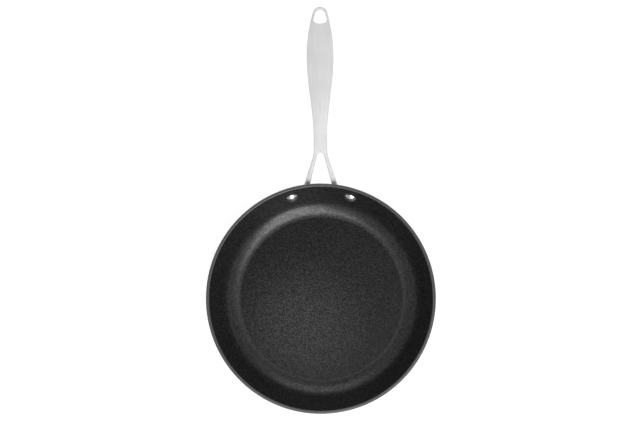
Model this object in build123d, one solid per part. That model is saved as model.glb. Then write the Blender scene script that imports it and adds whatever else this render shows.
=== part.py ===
from build123d import *
import os
from math import asin, cos, radians, sin, tan

# An omelette pan: a shallow round pan pressed from one aluminium disc, with a cast
# stainless handle held by two rivets. Millimetres, +Z up, handle along +Y.
# The origin is the centre of the flat underside, on the surface that the pan stands on.

# Pan body
opening_radius = 126.5      # inside edge of the lip
inside_depth = 46.0         # floor to lip
wall_thickness = 3.7        # the same all over, square to the surface
wall_angle = 70.0           # degrees, wall above the base plane
cove_radius = 22.0          # inside, floor to wall
lip_round = 1.2             # both edges of the lip

# Handle, seen from above. Distances along it are counted outward from the rim.
handle_length = 195.5       # rim to nose
grip_width = 30.3           # at the widest place
widest_from_rim = 139.0
taper_width = 21.0          # on the way from the grip to the neck
taper_from_rim = 87.0
neck_width = 15.3           # at the narrowest place
neck_from_rim = 38.5        # near end of the neck
neck_length = 11.0
nose_radius = 8.4
nose_flare_angle = 16.0     # degrees, flank beside the nose, from straight
fork_half_angle = 19.1      # degrees, outer edge of each leg from the handle's line
fork_bend_radius = 40.0     # outer edge, neck to leg
crotch_from_rim = 33.8      # far end of the opening between the legs
crotch_radius = 3.8
foot_width = 6.0            # each leg beside the rim

# Handle, seen from the side
leg_rise_angle = 22.0       # degrees, legs and neck above level
nose_droop_angle = 8.0      # degrees, nose below level
arch_gap = 6.2              # from the crotch to where the straight legs turn into the arch
bend_radius = 12.0          # top line, from the flange into the legs
root_inset = 2.5            # top line behind the flange's face, where it starts
handle_depth = 9.0          # top line to underside
crown_radius = 49.0172      # across the top, from side to side
foot_drop = 12.0            # from the flange's top to where the feet sink into its face
foot_angle = 50.0           # degrees, underside of the feet above level
gusset_radius = 9.0         # underside of the legs into the feet
top_round = 1.8
under_round = 1.5

# Channel in the underside of the grip
channel_wall = 3.2
channel_roof = 4.4
channel_start = 62.0        # from the rim
channel_end_gap = 9.0       # short of the hang hole
channel_corner_radius = 3.0
flank_shares = (0.2, 0.6)   # places on the handle's edge that the channel follows
waist_shares = (0, 0.2, 0.4, 0.6, 0.8, 1)
half_share = 0.5            # the middle of an edge

# Hang hole, an egg with its narrow end at the nose
hole_length = 17.1
hole_width = 15.0
hole_nose_radius = 6.0
hole_corner_radius = 5.5    # at the two corners of the wide end
hole_band = 2.5             # metal left at the nose
hole_round = 0.5

# Flange on the outside of the wall
flange_half_angle = 27.0    # degrees round the pan
flange_thickness = 3.0      # in the middle
flange_end_thickness = 2.0
flange_top_drop = 8.0       # below the lip, in the middle
flange_height = 25.0
flange_top_sag = 3.0        # ends lower than the middle
flange_bottom_rise = 5.0    # ends higher than the middle
flange_corner_radius = 8.0
flange_round = 1.0

# Rivets
rivet_spacing = 66.0        # between the two axes, at the inside of the wall
rivet_drop = 18.5           # axis below the lip, at the inside of the wall
shank_radius = 3.2
shank_clearance = 0.03      # round the shank
head_radius = 7.6
head_edge = 0.6             # upright rim under the dome
head_height = 4.2
tail_radius = 5.2
tail_edge = 0.5
tail_height = 2.4

overrun = 20.0              # how far cutting tools run past what they cut

# Places that follow from the sizes above
pan_height = inside_depth + wall_thickness
wall_slope = tan(radians(wall_angle))
wall_level_thickness = wall_thickness / sin(radians(wall_angle))
rim_radius = opening_radius + wall_level_thickness
nose_y = rim_radius + handle_length
grip_half = grip_width / 2
crown_height = crown_radius - (crown_radius**2 - grip_half**2) ** 0.5  # top above its sides
flange_top = pan_height - flange_top_drop
tall = pan_height + handle_length
upright_lean = 0.01         # a face that leans less than this is upright
top_lean = 0.6              # and one that leans more is a top or an underside


def outer_wall_radius(z):
    """Radius of the outside of the wall at height z."""
    return rim_radius - (pan_height - z) / wall_slope


def round_corner(sketch, x, y, radius):
    """Rounds the corner of a sketch nearest to a place."""
    return fillet(sketch.vertices().sort_by_distance((x, y, 0))[0], radius)


def turned(section):
    """A section drawn as radius and height, turned once round the pan's axis."""
    return revolve(Plane.XZ * section, Axis.Z, 360)


def make_envelope():
    """The outside of the pan, filled to the lip."""
    base_corner = outer_wall_radius(0)
    section = make_face(
        Polyline((0, 0), (base_corner, 0), (rim_radius, pan_height), (0, pan_height), (0, 0))
    )
    section = round_corner(section, base_corner, 0, cove_radius + wall_thickness)
    return turned(section)


def make_shell():
    """The pan without its rivet holes."""
    outer_corner = outer_wall_radius(0)
    inner_corner = opening_radius - inside_depth / wall_slope
    section = make_face(
        Polyline(
            (0, 0),
            (outer_corner, 0),
            (rim_radius, pan_height),
            (opening_radius, pan_height),
            (inner_corner, wall_thickness),
            (0, wall_thickness),
            (0, 0),
        )
    )
    section = round_corner(section, outer_corner, 0, cove_radius + wall_thickness)
    section = round_corner(section, inner_corner, wall_thickness, cove_radius)
    section = round_corner(section, rim_radius, pan_height, lip_round)
    section = round_corner(section, opening_radius, pan_height, lip_round)
    return turned(section)


def rivet_plane(side):
    """Origin on the inside of the wall, Z square to the wall and into the pan."""
    radius = opening_radius - rivet_drop / wall_slope
    turn = asin(side * rivet_spacing / 2 / radius)
    lean = radians(wall_angle)
    inward = Vector(-sin(turn) * sin(lean), -cos(turn) * sin(lean), cos(lean))
    place = Vector(radius * sin(turn), radius * cos(turn), pan_height - rivet_drop)
    return Plane(origin=place, x_dir=(cos(turn), -sin(turn), 0), z_dir=inward)


def rivet_hole(side):
    depth = wall_thickness + flange_thickness + overrun
    return rivet_plane(side) * Cylinder(shank_radius + shank_clearance, 2 * depth)


def flange_face(z):
    """Distance of the flange's outer face from the pan's axis, in the middle."""
    return outer_wall_radius(z) + flange_thickness / sin(radians(wall_angle))


def top_line():
    """Middle of the handle's top from the side, in four runs: x outward, y up."""
    rise = radians(leg_rise_angle)
    droop = radians(nose_droop_angle)
    steep = radians(wall_angle)
    root = Vector(flange_face(flange_top) - root_inset, flange_top)
    bend = JernArc(root, (cos(steep), sin(steep)), bend_radius, leg_rise_angle - wall_angle)
    uphill = Vector(cos(rise), sin(rise))
    arch_y = rim_radius + crotch_from_rim + arch_gap
    leg = Line(bend @ 1, (bend @ 1) + uphill * ((arch_y - (bend @ 1).X) / cos(rise)))
    arch_radius = (nose_y - arch_y) / (sin(rise) + sin(droop))
    arch = JernArc(leg @ 1, uphill, arch_radius, -leg_rise_angle - nose_droop_angle)
    run_out = Line(arch @ 1, (arch @ 1) + Vector(cos(droop), -sin(droop)) * overrun)
    return bend, leg, arch, run_out


def below(line, place, depth):
    """A point under a place along a line of the side view, square to the line."""
    return (line @ place) + (line % place).rotate(Axis.Z, -90) * depth


def side_band(upper, lower):
    """The legs and the arch from the side, between two depths under the top line."""
    _, leg, arch, run_out = top_line()
    return make_face(
        [
            Line(below(leg, 0, lower), below(leg, 0, upper)),
            Line(below(leg, 0, upper), below(leg, 1, upper)),
            ThreePointArc(below(arch, 0, upper), below(arch, 0.5, upper), below(arch, 1, upper)),
            Line(below(arch, 1, upper), below(run_out, 1, upper)),
            Line(below(run_out, 1, upper), below(run_out, 1, lower)),
            Line(below(run_out, 1, lower), below(arch, 1, lower)),
            ThreePointArc(below(arch, 1, lower), below(arch, 0.5, lower), below(arch, 0, lower)),
            Line(below(leg, 1, lower), below(leg, 0, lower)),
        ]
    )


def root_profile():
    """The feet of the legs from the side, running on into the wall of the pan."""
    bend, leg, _, _ = top_line()
    raised = Vector(0, crown_height)
    under = below(leg, 0, handle_depth)
    rise = tan(radians(leg_rise_angle))
    dive = tan(radians(foot_angle))
    foot_z = flange_top - foot_drop
    foot_y = flange_face(foot_z)
    corner_y = (under.Y - foot_z + dive * foot_y - rise * under.X) / (dive - rise)
    corner = Vector(corner_y, foot_z + dive * (corner_y - foot_y))
    inner_y = rim_radius - overrun
    section = make_face(
        [
            Line((inner_y, flange_top), bend @ 0),
            Line(bend @ 0, (bend @ 0) + raised),
            bend.moved(Location(raised)),
            Line((bend @ 1) + raised, under),
            Line(under, corner),
            Line(corner, (inner_y, foot_z + dive * (inner_y - foot_y))),
            Line((inner_y, foot_z + dive * (inner_y - foot_y)), (inner_y, flange_top)),
        ]
    )
    return round_corner(section, corner.X, corner.Y, gusset_radius)


def crown_cutter():
    """Everything above the crowned top of the handle."""
    bend, leg, arch, run_out = top_line()
    path = Plane.YZ * Wire([bend, leg, arch, run_out])
    reach = grip_width
    side_y = (crown_radius**2 - reach**2) ** 0.5 - crown_radius
    section = make_face(
        [
            ThreePointArc((-reach, side_y), (0, 0), (reach, side_y)),
            Polyline((reach, side_y), (reach, overrun), (-reach, overrun), (-reach, side_y)),
        ]
    )
    start = Plane(origin=path @ 0, x_dir=(-1, 0, 0), z_dir=path % 0)
    return sweep(start * section, path)


def right_side():
    """The handle's right-hand edge from above: flank, waist, neck, bend and leg."""
    flare = radians(nose_flare_angle)
    fork = radians(fork_half_angle)
    back = (0, -1)
    nose_middle = nose_y - nose_radius
    nose_end = Vector(nose_radius * cos(flare), nose_middle + nose_radius * sin(flare))
    widest = Vector(grip_width / 2, rim_radius + widest_from_rim)
    taper = Vector(taper_width / 2, rim_radius + taper_from_rim)
    neck_near = Vector(neck_width / 2, rim_radius + neck_from_rim)
    neck_far = neck_near + Vector(0, neck_length)
    flank = Spline(nose_end, widest, tangents=((sin(flare), -cos(flare)), back))
    waist = Spline(widest, taper, neck_far, tangents=(back, back))
    neck = Line(neck_far, neck_near)
    bend = JernArc(neck_near, back, fork_bend_radius, fork_half_angle)
    leg_run = ((bend @ 1).Y - rim_radius + overrun) / cos(fork)
    leg = Line(bend @ 1, (bend @ 1) + Vector(sin(fork), -cos(fork)) * leg_run)
    return flank, waist, neck, bend, leg


def handle_outline():
    """The handle from above, with the fork still filled in."""
    right = right_side()
    left = [mirror(edge, Plane.YZ) for edge in right]
    nose = ThreePointArc(left[0] @ 0, (0, nose_y), right[0] @ 0)
    foot = Line(right[-1] @ 1, left[-1] @ 1)
    return make_face([nose, foot, *right, *left])


def fork_gap():
    """The opening between the legs, from above: round at the crotch, open towards the pan."""
    crotch_middle = rim_radius + crotch_from_rim - crotch_radius
    fork = radians(fork_half_angle)
    outer = right_side()[-1] @ 0
    foot_half = outer.X + (outer.Y - rim_radius) * tan(fork) - foot_width / cos(fork)
    spread = (foot_half - crotch_radius) / (crotch_middle - rim_radius)
    mouth_half = foot_half + spread * overrun
    mouth_y = rim_radius - overrun
    return make_hull(
        [
            CenterArc((0, crotch_middle), crotch_radius, 0, 360),
            Line((-mouth_half, mouth_y), (mouth_half, mouth_y)),
        ]
    )


def hang_hole():
    """The hole near the nose, from above."""
    nose_end = nose_y - hole_band
    corner_x = hole_width / 2 - hole_corner_radius
    corner_y = nose_end - hole_length + hole_corner_radius
    return make_hull(
        [
            CenterArc((0, nose_end - hole_nose_radius), hole_nose_radius, 0, 360),
            CenterArc((-corner_x, corner_y), hole_corner_radius, 0, 360),
            CenterArc((corner_x, corner_y), hole_corner_radius, 0, 360),
        ]
    )


def hole_edges(solid):
    """The rims of the hang hole, on the top and on the underside."""
    low_y = nose_y - hole_band - hole_length
    found = ShapeList()
    for face in solid.faces().filter_by(is_upright):
        middle = face.center()
        if low_y < middle.Y < nose_y - hole_band and abs(middle.X) < hole_width / 2:
            found.extend(e for e in face.edges() if abs((e % half_share).Z) < top_lean)
    return found


def upright(sketch):
    """A view from above, made into a prism taller than the handle."""
    return extrude(sketch, tall)


def from_side(sketch):
    """A view from the side, made into a prism wider than the handle."""
    return extrude(Plane.YZ * sketch, grip_width, both=True)


def is_upright(face):
    return abs(face.normal_at(face.center()).Z) < upright_lean


def edges_round(solid, low, high):
    """Edges where the upright sides meet the faces whose upward lean lies in a range."""
    sides = [edge for face in solid.faces() if is_upright(face) for edge in face.edges()]
    found = ShapeList()
    for face in solid.faces():
        middle = face.center()
        if middle.Y > rim_radius and low < face.normal_at(middle).Z < high:
            found.extend(e for e in face.edges() if any(e.is_same(side) for side in sides))
    return found


def channel_plan():
    """The hollow of the grip from above, one wall inside the handle's edge."""
    flank, waist = right_side()[:2]
    places = [(flank, share) for share in flank_shares] + [(waist, share) for share in waist_shares]
    edge = [
        (line @ share) + (line % share).rotate(Axis.Z, -90) * channel_wall
        for line, share in places
    ]
    right = Spline(*edge)
    left = mirror(right, Plane.YZ)
    hollow = make_face([right, left, Line(right @ 0, left @ 0), Line(right @ 1, left @ 1)])
    start = rim_radius + channel_start
    end = nose_y - hole_band - hole_length - channel_end_gap
    plan = hollow & Pos(0, (start + end) / 2) * Rectangle(grip_width, end - start)
    return fillet(plan.vertices(), channel_corner_radius)


def make_channel():
    """The hollow in the underside of the grip."""
    return upright(channel_plan()) & from_side(side_band(channel_roof, handle_depth + channel_roof))


def make_grip():
    """Nose, grip, neck and fork in one, down to the feet of the legs."""
    side = side_band(-crown_height, handle_depth) + root_profile()
    grip = upright(handle_outline() - fork_gap()) & from_side(side)
    grip = grip - crown_cutter()
    grip = fillet(edges_round(grip, -1, -top_lean), under_round)
    grip = fillet(edges_round(grip, top_lean, 1), top_round)
    grip = grip - upright(hang_hole())
    grip = fillet(hole_edges(grip), hole_round)
    return grip - make_channel()


def flange_shift():
    """How far the flange's outer cone is moved outward so that its ends get thin."""
    taper = (flange_thickness - flange_end_thickness) / sin(radians(wall_angle))
    return taper / (1 - cos(radians(flange_half_angle)))


def flange_thickness_at(turn):
    """Thickness of the flange square to the wall, at an angle from the middle."""
    thinned = flange_shift() * (1 - cos(turn)) * sin(radians(wall_angle))
    return flange_thickness - thinned


def flange_front():
    """The flange seen from outside, along the handle."""
    bottom = flange_top - flange_height
    half = outer_wall_radius(flange_top) * sin(radians(flange_half_angle))
    top_end = flange_top - flange_top_sag
    bottom_end = bottom + flange_bottom_rise
    front = make_face(
        [
            ThreePointArc((-half, top_end), (0, flange_top), (half, top_end)),
            Line((half, top_end), (half, bottom_end)),
            ThreePointArc((half, bottom_end), (0, bottom), (-half, bottom_end)),
            Line((-half, bottom_end), (-half, top_end)),
        ]
    )
    return fillet(front.vertices(), flange_corner_radius)


def make_flange():
    """The curved plate on the outside of the wall, still filled in behind."""
    low_z = flange_top - flange_height - flange_round
    high_z = flange_top + flange_round
    inset = flange_shift() - flange_thickness / sin(radians(wall_angle))
    cone = Cone(
        outer_wall_radius(low_z) - inset,
        outer_wall_radius(high_z) - inset,
        high_z - low_z,
        align=(Align.CENTER, Align.CENTER, Align.MIN),
    )
    flange = (Pos(0, flange_shift(), low_z) * cone) & extrude(Plane.XZ * flange_front(), -tall)
    return fillet(flange.faces().sort_by(Axis.Y)[-1].edges(), flange_round)


def make_blank_handle():
    """The whole casting before its rivet holes are drilled."""
    return make_grip() + make_flange() - make_envelope()


def dome(radius, edge, height, sink):
    """A low domed head on the plane z = 0, running down into what it sits on."""
    section = make_face(
        [
            Line((0, -sink), (radius, -sink)),
            Line((radius, -sink), (radius, edge)),
            ThreePointArc((radius, edge), dome_point(radius, edge, height), (0, height)),
            Line((0, height), (0, -sink)),
        ]
    )
    return revolve(Plane.XZ * section, Axis.Z, 360)


def dome_point(radius, edge, height):
    """Halfway along the arc of a dome, from its edge to its top."""
    rise = height - edge
    ball = (radius**2 + rise**2) / (2 * rise)
    half = asin(radius / ball) / 2
    return ball * sin(half), height - ball * (1 - cos(half))


def make_rivet(side, shell, blank_handle):
    """Head inside the pan, shank through wall and flange, upset tail outside."""
    radius = opening_radius - rivet_drop / wall_slope
    thickness = flange_thickness_at(asin(rivet_spacing / 2 / radius))
    grip_length = wall_thickness + thickness
    place = rivet_plane(side)
    head = place * dome(head_radius, head_edge, head_height, wall_thickness / 2)
    tail = Pos(0, 0, -grip_length) * Rot(180, 0, 0) * dome(
        tail_radius, tail_edge, tail_height, thickness / 2
    )
    length = grip_length + head_edge + tail_edge
    shank = Pos(0, 0, head_edge - length / 2) * Cylinder(shank_radius, length)
    return (head - shell) + (place * tail - blank_handle) + place * shank


def main():
    os.makedirs("parts", exist_ok=True)
    shell = make_shell()
    blank_handle = make_blank_handle()
    holes = [rivet_hole(side) for side in (-1, 1)]
    parts = {
        "pan_body": shell - holes,
        "handle": blank_handle - holes,
        "rivet_left": make_rivet(-1, shell, blank_handle),
        "rivet_right": make_rivet(1, shell, blank_handle),
    }
    for name, part in parts.items():
        export_step(part, f"parts/{name}.step")


main()
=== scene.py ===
import math
import bpy
from mathutils import Matrix, Vector

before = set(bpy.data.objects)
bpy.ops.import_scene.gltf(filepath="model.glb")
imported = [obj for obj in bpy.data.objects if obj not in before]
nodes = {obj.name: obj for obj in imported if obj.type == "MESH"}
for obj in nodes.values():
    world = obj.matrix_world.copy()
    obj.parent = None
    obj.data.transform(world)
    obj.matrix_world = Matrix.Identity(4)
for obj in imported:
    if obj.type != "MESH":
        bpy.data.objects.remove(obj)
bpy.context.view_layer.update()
mm = 0.001
white = [1.0, 1.0, 1.0, 1.0]
plainSpecular = 0.5             # the shader's own level, at which the IOR alone decides
print("frame loaded:", ", ".join(sorted(nodes)))


# sRGB hex, as picked on a screen, to the linear colour that the shaders use
def hexToLinear(code):
    parts = [int(code[i:i + 2], 16) / 255 for i in (1, 3, 5)]
    return [c / 12.92 if c <= 0.04045 else ((c + 0.055) / 1.055) ** 2.4 for c in parts] + [1.0]


# one node: its settings first, then its inputs, each a value or another node's socket
def addNode(tree, kind, settings=None, inputs=None):
    node = tree.nodes.new("ShaderNode" + kind)
    for name, value in (settings or {}).items():
        setattr(node, name, value)
    for name, value in (inputs or {}).items():
        if isinstance(value, bpy.types.NodeSocket):
            tree.links.new(value, node.inputs[name])
        else:
            node.inputs[name].default_value = value
    return node


# short forms of addNode for what comes up again and again, each gives the output
def calc(tree, operation, *values):
    return addNode(tree, "Math", {"operation": operation}, dict(enumerate(values))).outputs[0]


def ramp(tree, value, edges, ends=(0.0, 1.0), soft=False):
    kind = {"interpolation_type": "SMOOTHSTEP" if soft else "LINEAR"}
    return addNode(tree, "MapRange", kind, {
        "Value": value, "From Min": edges[0], "From Max": edges[1],
        "To Min": ends[0], "To Max": ends[1],
    }).outputs[0]


def blend(tree, share, first, second, kind="RGBA"):
    return addNode(tree, "Mix", {"data_type": kind}, {
        "Factor": share, "A": first, "B": second,
    }).outputs["Result"]


def blendShader(tree, share, first, second):
    return addNode(tree, "MixShader", None, {0: share, 1: first, 2: second}).outputs[0]


def noise(tree, place, size, detail, roughness=0.5, distortion=0.0):
    return addNode(tree, "TexNoise", None, {
        "Vector": place, "Scale": 1 / (size * mm),
        "Detail": detail, "Roughness": roughness, "Distortion": distortion,
    }).outputs["Fac"]


def bump(tree, height, strength, distance):
    return addNode(tree, "Bump", None, {
        "Height": height, "Strength": strength, "Distance": distance * mm,
    }).outputs[0]


# the point on the part, its X, Y and Z in metres, and how far its surface looks up
def readSurface(tree):
    place = addNode(tree, "TexCoord").outputs["Object"]
    facing = addNode(tree, "NewGeometry").outputs["Normal"]
    xyz = addNode(tree, "SeparateXYZ", None, {0: place}).outputs
    up = addNode(tree, "SeparateXYZ", None, {0: facing}).outputs["Z"]
    return place, xyz, up


def startMaterial(name):
    material = bpy.data.materials.new(name)
    material.use_nodes = True
    material.node_tree.nodes.clear()
    return material, material.node_tree


# puts a material on every slot of a CAD piece
def paint(pieceName, material):
    mesh = nodes[pieceName].data
    if not mesh.materials:
        mesh.materials.append(material)
    for i in range(len(mesh.materials)):
        mesh.materials[i] = material


# Pan body: hard-anodised aluminium, a dull dark grey with a fine dry grain, and inside it
# a baked PTFE nonstick finish, near black, with fine flecks and a soft eggshell gloss.
panLook = {
    "coat": "#080809",              # nonstick between its flecks
    "coatFleck": "#2F2F30",
    "paintedHighlightCoat": "#1A1A1B",        # painted highlight, a lighter patch of the floor's coat toward the near panel
    "paintedHighlightFleck": "#464647",
    "paintedHighlightPlace": (-22.0, -32.0),  # mm, middle of the painted highlight
    "paintedHighlightReach": (10.0, 95.0),    # mm, full painted highlight up to the first, none past the second
    "fleckSize": 0.8,               # mm, real flecks are about 0.3 mm, drawn coarser to show
    "fleckRange": (0.25, 1.0),      # fleck values, from bare coat to full fleck
    "gritSize": 1.6,                # mm, fine roughness of the film
    "gritShare": 0.6,               # its height against that of the orange peel
    "orangePeel": 3.0,              # mm, soft waviness of the baked film
    "coatDepth": 0.05,              # mm, from its hollows to its tops
    "floorRoughness": 0.38,
    "floorSparkle": 0.07,           # how much roughness differs from fleck to fleck
    "floorIor": 1.30,
    "floorBump": 0.30,              # share of the full bump
    "floorEdge": (93.2, 95.2),      # mm from the axis, floor film to side film
    "sideRoughness": 0.35,          # the sides of the film are less rubbed and glossier
    "sideSparkle": 0.09,
    "sideShine": 0.20,              # how much the strength of a reflection differs
    "sideIor": 1.56,
    "sideBump": 0.25,
    "facesUp": (0.0, 0.08),         # upward lean, from the outside to the inside of the pan
    "lipEdge": 126.2,               # mm from the axis, where the nonstick ends
    "lipBlend": 0.15,               # mm, to either side of that
    "anodised": "#353638",
    "anodisedPale": "#444548",
    "anodisedTones": (0.55, 1.05),  # tone values, from the dark to the pale colour
    "anodisedRoughness": 0.42,
    "anodisedSpread": 0.05,         # how much roughness differs
    "spreadTones": (0.5, 1.1),      # tone values, from rough to smooth
    "anodisedIor": 1.6,
    "anodisedBump": 0.5,            # share of the full bump
    "anodisedDepth": 0.06,          # mm
    "grainSize": 0.9,               # mm, blasted grain, real grain is near 0.1 mm
    "grainShare": 0.6,              # its strength against that of the clouds
    "cloudSize": 45.0,              # mm, slow changes of tone from the bath
    "ringSpacing": 4.2,             # mm, lathe rings on the base, real rings are about 0.5 mm
    "ringContrast": 0.16,
    "ringHeight": 0.5,              # against that of the grain
    "baseEdge": 94.0,               # mm, flat part of the base
    "baseBlend": 2.0,               # mm, over which the rings fade out there
    "facesDown": (-0.97, -0.995),   # upward lean, from the wall to the base
}


def makePanMaterial(look):
    material, tree = startMaterial("hardAnodisedAluminiumBakedNonstick")
    place, xyz, up = readSurface(tree)
    flat = addNode(tree, "CombineXYZ", None, {0: xyz["X"], 1: xyz["Y"]}).outputs[0]
    radius = addNode(tree, "VectorMath", {"operation": "LENGTH"}, {0: flat}).outputs["Value"]

    # inside the pan: faces that look upward, short of the lip
    looksUp = ramp(tree, up, look["facesUp"], soft=True)
    lipEnds = [(look["lipEdge"] + side * look["lipBlend"]) * mm for side in (1, -1)]
    inside = calc(tree, "MULTIPLY", looksUp, ramp(tree, radius, lipEnds))

    # nonstick: flecks sprayed at random, each of its own strength, over a soft waviness
    cells = addNode(tree, "TexVoronoi", None, {
        "Vector": place, "Scale": 1 / (look["fleckSize"] * mm),
    }).outputs["Color"]
    flecks = addNode(tree, "SeparateColor", None, {"Color": cells}).outputs["Red"]
    fleckShare = ramp(tree, flecks, look["fleckRange"], soft=True)
    # painted highlight: the floor's coat and flecks made lighter in a patch off centre, toward the
    # near panel, standing in for its light
    fromPaintedHighlight = addNode(tree, "VectorMath", {"operation": "DISTANCE"}, {
        0: flat, 1: [v * mm for v in look["paintedHighlightPlace"]] + [0],
    }).outputs["Value"]
    paintedHighlight = ramp(tree, fromPaintedHighlight, [v * mm for v in reversed(look["paintedHighlightReach"])], soft=True)
    onFloor = ramp(tree, radius, [v * mm for v in reversed(look["floorEdge"])], soft=True)
    ownCoatColour, paintedHighlightColour = [
        blend(tree, fleckShare, hexToLinear(look[coat]), hexToLinear(look[fleck]))
        for coat, fleck in (("coat", "coatFleck"), ("paintedHighlightCoat", "paintedHighlightFleck"))
    ]
    paintedHighlightOnFloor = calc(tree, "MULTIPLY", paintedHighlight, onFloor)
    coatColour = blend(tree, paintedHighlightOnFloor, ownCoatColour, paintedHighlightColour)
    grit = noise(tree, place, look["gritSize"], detail=3.0, roughness=0.8)
    peel = noise(tree, place, look["orangePeel"], detail=2.0)
    coatHeight = calc(tree, "MULTIPLY_ADD", grit, look["gritShare"], peel)

    # a rubbed and duller film on the floor, a glossier one up the sides
    def makeCoat(area, extra):
        middle, sparkle = look[area + "Roughness"], look[area + "Sparkle"]
        return addNode(tree, "BsdfPrincipled", None, {
            "Base Color": coatColour, "IOR": look[area + "Ior"],
            "Roughness": ramp(tree, flecks, (0.0, 1.0), (middle + sparkle, middle - sparkle)),
            "Normal": bump(tree, coatHeight, look[area + "Bump"], look["coatDepth"]), **extra,
        }).outputs[0]

    shineEnds = [plainSpecular + side * look["sideShine"] for side in (-1, 1)]
    sideShine = ramp(tree, flecks, (0.0, 1.0), shineEnds)
    coat = blendShader(tree, onFloor, makeCoat("side", {"Specular IOR Level": sideShine}),
                       makeCoat("floor", {}))

    # anodised: fine blasted grain, and rings left by the lathe on the flat of the base
    grain = noise(tree, place, look["grainSize"], detail=4.0, roughness=0.65)
    clouds = noise(tree, place, look["cloudSize"], detail=2.0)
    tone = calc(tree, "MULTIPLY_ADD", grain, look["grainShare"], clouds)
    turns = calc(tree, "MULTIPLY", radius, 2 * math.pi / (look["ringSpacing"] * mm))
    baseEnds = (look["baseEdge"] * mm, (look["baseEdge"] - look["baseBlend"]) * mm)
    onBase = calc(tree, "MULTIPLY", ramp(tree, up, look["facesDown"]), ramp(tree, radius, baseEnds))
    rings = calc(tree, "MULTIPLY", calc(tree, "SINE", turns), onBase)
    ringedTone = calc(tree, "MULTIPLY_ADD", rings, look["ringContrast"], tone)
    middle, spread = look["anodisedRoughness"], look["anodisedSpread"]
    anodised = addNode(tree, "BsdfPrincipled", None, {
        "Base Color": blend(tree, ramp(tree, ringedTone, look["anodisedTones"]),
                            hexToLinear(look["anodised"]), hexToLinear(look["anodisedPale"])),
        "Roughness": ramp(tree, tone, look["spreadTones"], (middle + spread, middle - spread)),
        "IOR": look["anodisedIor"],
        "Normal": bump(tree, calc(tree, "MULTIPLY_ADD", rings, look["ringHeight"], grain),
                       look["anodisedBump"], look["anodisedDepth"]),
    }).outputs[0]
    addNode(tree, "OutputMaterial", None, {"Surface": blendShader(tree, inside, anodised, coat)})
    return material


paint("pan_body", makePanMaterial(panLook))
print("pan body finished")


# Handle: cast stainless steel, satin polished along its length with a belt, so its
# reflections are soft and drawn out, and left dull and slightly pebbled underneath.
handleLook = {
    "steel": "#EBEBEB",
    "steelShade": "#E5E5E5",
    "shadeRange": (0.75, 1.25),     # belt lines and clouds together, from steel to its shade
    "satinRoughness": 0.86,
    "satinSpread": (-0.04, 0.05),   # added to it from one belt line to the next
    "satinLines": (0.3, 0.7),       # values of the belt lines between which that happens
    "castRoughness": 0.52,
    "facesDown": (-0.35, -0.75),    # upward lean, from the polished to the cast surface
    "grainWidth": 0.7,              # mm, belt lines, real lines are about 0.1 mm
    "grainLength": 40.0,            # mm
    "grainDrop": 4.2,               # mm, down the sides
    "castGrain": 1.1,               # mm, sand of the mould
    "cloudSize": 30.0,              # mm, slow changes of tone
    "grainBump": 0.15,              # share of the full bump
    "grainDepth": 0.03,             # mm
    "forkAngle": 18.0,              # degrees, the grain follows the legs
    "forkY": 162.0,                 # mm from the pan's axis, where the legs part
}


def makeHandleMaterial(look):
    material, tree = startMaterial("castStainlessSteelSatinPolished")
    place, xyz, up = readSurface(tree)

    # the distance sideways from the handle's line, which splits along the two legs
    pastFork = calc(tree, "SUBTRACT", look["forkY"] * mm, xyz["Y"])
    inLegs = calc(tree, "MAXIMUM", pastFork, 0.0)
    spread = calc(tree, "MULTIPLY", inLegs, math.tan(math.radians(look["forkAngle"])))
    across = calc(tree, "SUBTRACT", calc(tree, "ABSOLUTE", xyz["X"]), spread)
    grainPlace = addNode(tree, "CombineXYZ", None, {
        0: calc(tree, "DIVIDE", across, look["grainWidth"] * mm),
        1: calc(tree, "DIVIDE", xyz["Y"], look["grainLength"] * mm),
        2: calc(tree, "DIVIDE", xyz["Z"], look["grainDrop"] * mm),
    }).outputs[0]
    beltLines = addNode(tree, "TexNoise", None, {
        "Vector": grainPlace, "Scale": 1.0, "Detail": 3.0, "Roughness": 0.6,
    }).outputs["Fac"]
    castGrain = noise(tree, place, look["castGrain"], detail=3.0)
    clouds = noise(tree, place, look["cloudSize"], detail=2.0)

    # polished on top and at the sides, as cast underneath
    underneath = ramp(tree, up, look["facesDown"], soft=True)
    height = blend(tree, underneath, beltLines, castGrain, "FLOAT")
    shade = ramp(tree, calc(tree, "ADD", beltLines, clouds), look["shadeRange"])
    satinEnds = [look["satinRoughness"] + v for v in look["satinSpread"]]
    satin = ramp(tree, beltLines, look["satinLines"], satinEnds)
    steel = addNode(tree, "BsdfPrincipled", None, {
        "Base Color": blend(tree, shade, hexToLinear(look["steel"]),
                            hexToLinear(look["steelShade"])),
        "Metallic": 1.0,
        "Roughness": blend(tree, underneath, satin, look["castRoughness"], "FLOAT"),
        "Normal": bump(tree, height, look["grainBump"], look["grainDepth"]),
    }).outputs[0]
    addNode(tree, "OutputMaterial", None, {"Surface": steel})
    return material


paint("handle", makeHandleMaterial(handleLook))
print("handle finished")


# Rivets: stainless wire headed in a die and tumbled bright, so the domes mirror the room
# softly and carry a few fine scuffs.
rivetLook = {
    "steel": "#D8D8D8",
    "steelShade": "#C6C6C6",
    "shadeRange": (0.4, 0.65),      # scuff values, from steel to its shade
    "roughness": 0.28,
    "roughSpread": (-0.05, 0.06),   # added to it from the bare steel to a scuff
    "scuffRange": (0.3, 0.7),       # scuff values between which that happens
    "scuffSize": 1.5,               # mm, real scuffs are finer than a pixel
    "scuffBump": 0.15,              # share of the full bump
    "scuffDepth": 0.03,             # mm
}


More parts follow.
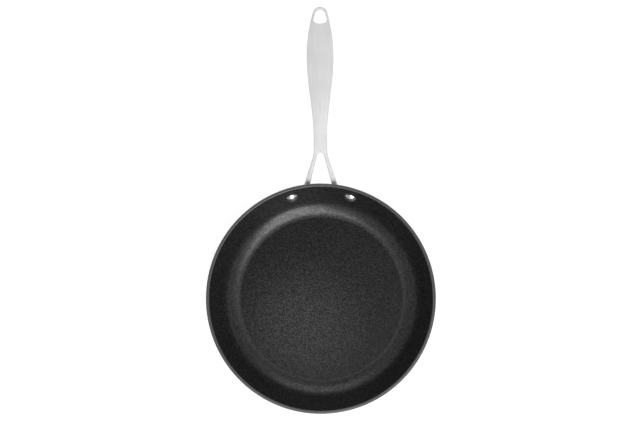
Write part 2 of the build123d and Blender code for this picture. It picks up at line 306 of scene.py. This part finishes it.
def makeRivetMaterial(look):
    material, tree = startMaterial("headedStainlessSteelTumbled")
    place = addNode(tree, "TexCoord").outputs["Object"]
    scuffs = noise(tree, place, look["scuffSize"], detail=4.0, roughness=0.6, distortion=0.6)
    roughEnds = [look["roughness"] + v for v in look["roughSpread"]]
    steel = addNode(tree, "BsdfPrincipled", None, {
        "Base Color": blend(tree, ramp(tree, scuffs, look["shadeRange"]),
                            hexToLinear(look["steel"]), hexToLinear(look["steelShade"])),
        "Metallic": 1.0,
        "Roughness": ramp(tree, scuffs, look["scuffRange"], roughEnds),
        "Normal": bump(tree, scuffs, look["scuffBump"], look["scuffDepth"]),
    }).outputs[0]
    addNode(tree, "OutputMaterial", None, {"Surface": steel})
    return material


rivetMaterial = makeRivetMaterial(rivetLook)
for name in ("rivet_left", "rivet_right"):
    paint(name, rivetMaterial)
print("rivets finished")


# Studio: a white floor, a pale room, a soft panel over the near side of the pan and a
# weaker one over the end of the handle
studio = {
    "floorSize": 6.0,               # metres
    "floorGap": 0.05,               # mm under the pan
    "floorPaint": "#E6E6E6",        # what dull surfaces get back from it
    "floorSeen": 0.28,              # linear grey that the camera and reflections see shaded
    "floorGlow": 0.84,              # and what is added to that, up to white
    "roomLight": 0.55,              # what the room gives to dull surfaces
    # what reflections show: a white backdrop at the horizon, pale walls, a dimmer ceiling
    "walls": 0.38,
    "ceiling": 0.26,
    "backdropEdges": (0.12, 0.34),  # sines of the angle above the horizon
    "ceilingEdge": 0.72,
    "nearSize": (0.65, 1.30),       # metres, across and along its tilt
    "nearDistance": 1.15,           # metres from the middle of the pan
    "nearAzimuth": -72.0,           # degrees from +X
    "nearTilt": 41.0,               # degrees from straight up
    "nearPower": 13.2,              # watts
    "farSize": (1.0, 0.8),
    "farDistance": 1.15,
    "farAzimuth": 90.0,
    "farTilt": 50.0,
    "farPower": 2.3,
}


def makeFloor(look):
    half, low = look["floorSize"] / 2, -look["floorGap"] * mm
    mesh = bpy.data.meshes.new("studioFloor")
    corners = [(x * half, y * half, low) for x, y in ((-1, -1), (1, -1), (1, 1), (-1, 1))]
    mesh.from_pydata(corners, [], [(0, 1, 2, 3)])
    floor = bpy.data.objects.new("studioFloor", mesh)
    bpy.context.scene.collection.objects.link(floor)
    material, tree = startMaterial("paintedFloor")
    rays = addNode(tree, "LightPath").outputs
    back = addNode(tree, "NewGeometry").outputs["Backfacing"]
    seen = calc(tree, "MAXIMUM", rays["Is Camera Ray"], rays["Is Glossy Ray"])
    dull = addNode(tree, "BsdfDiffuse", None, {"Color": hexToLinear(look["floorPaint"])})
    softened = addNode(tree, "BsdfDiffuse", None, {"Color": [look["floorSeen"]] * 3 + [1.0]})
    glow = addNode(tree, "Emission", None, {"Color": white, "Strength": look["floorGlow"]})
    pale = addNode(tree, "AddShader", None, {0: softened.outputs[0], 1: glow.outputs[0]})
    front = blendShader(tree, seen, dull.outputs[0], pale.outputs[0])
    through = addNode(tree, "BsdfTransparent").outputs[0]
    addNode(tree, "OutputMaterial", None, {"Surface": blendShader(tree, back, front, through)})
    mesh.materials.append(material)


def makeRoom(look):
    world = bpy.data.worlds.new("paleRoom")
    bpy.context.scene.world = world
    world.use_nodes = True
    tree = world.node_tree
    tree.nodes.clear()
    rays = addNode(tree, "LightPath").outputs
    reflected = calc(tree, "MAXIMUM", rays["Is Glossy Ray"], rays["Is Transmission Ray"])
    way = addNode(tree, "TexCoord").outputs["Generated"]
    up = addNode(tree, "SeparateXYZ", None, {0: way}).outputs["Z"]
    wallToCeiling = ramp(tree, up, (look["ceilingEdge"], 1.0), (look["walls"], look["ceiling"]),
                         soft=True)
    aboveBackdrop = ramp(tree, up, look["backdropEdges"], soft=True)
    mirrored = blend(tree, aboveBackdrop, 1.0, wallToCeiling, "FLOAT")
    light, room, backdrop = [
        addNode(tree, "Background", None, {"Color": white, "Strength": strength}).outputs[0]
        for strength in (look["roomLight"], mirrored, 1.0)
    ]
    unseen = blendShader(tree, reflected, light, room)
    both = blendShader(tree, rays["Is Camera Ray"], unseen, backdrop)
    addNode(tree, "OutputWorld", None, {"Surface": both})


def makePanel(look, side):
    tilt, azimuth = [math.radians(look[side + angle]) for angle in ("Tilt", "Azimuth")]
    level = math.sin(tilt)
    way = Vector((level * math.cos(azimuth), level * math.sin(azimuth), math.cos(tilt)))
    lamp = bpy.data.lights.new(side + "Panel", "AREA")
    lamp.shape = "RECTANGLE"
    lamp.size, lamp.size_y = look[side + "Size"]
    lamp.energy = look[side + "Power"]
    panel = bpy.data.objects.new(side + "Panel", lamp)
    panel.location = way * look[side + "Distance"]
    panel.rotation_euler = way.to_track_quat("Z", "Y").to_euler()
    panel.visible_camera = False
    bpy.context.scene.collection.objects.link(panel)


makeFloor(studio)
makeRoom(studio)
makePanel(studio, "near")
makePanel(studio, "far")
print("studio ready")


# Camera: almost straight down, as in the photograph
cameraLook = {
    "place": (0.034, -0.015, 1.600),
    "aim": (-0.00119, 0.09693, 0.030),
    "lens": 77.19,                  # mm
    "sensor": 36.0,                 # mm wide
}


def makeCamera(look):
    camera = bpy.data.objects.new("studioCamera", bpy.data.cameras.new("studioCamera"))
    bpy.context.scene.collection.objects.link(camera)
    camera.data.sensor_fit = "HORIZONTAL"
    camera.data.sensor_width = look["sensor"]
    camera.data.lens = look["lens"]
    place = Vector(look["place"])
    ahead = (Vector(look["aim"]) - place).normalized()
    right = ahead.cross(Vector((0, 1, 0))).normalized()
    top = right.cross(ahead)
    turn = Matrix((right, top, -ahead)).transposed()
    camera.matrix_world = Matrix.Translation(place) @ turn.to_4x4()
    bpy.context.scene.camera = camera


makeCamera(cameraLook)
bpy.context.scene.view_settings.view_transform = "Standard"
print("camera ready")
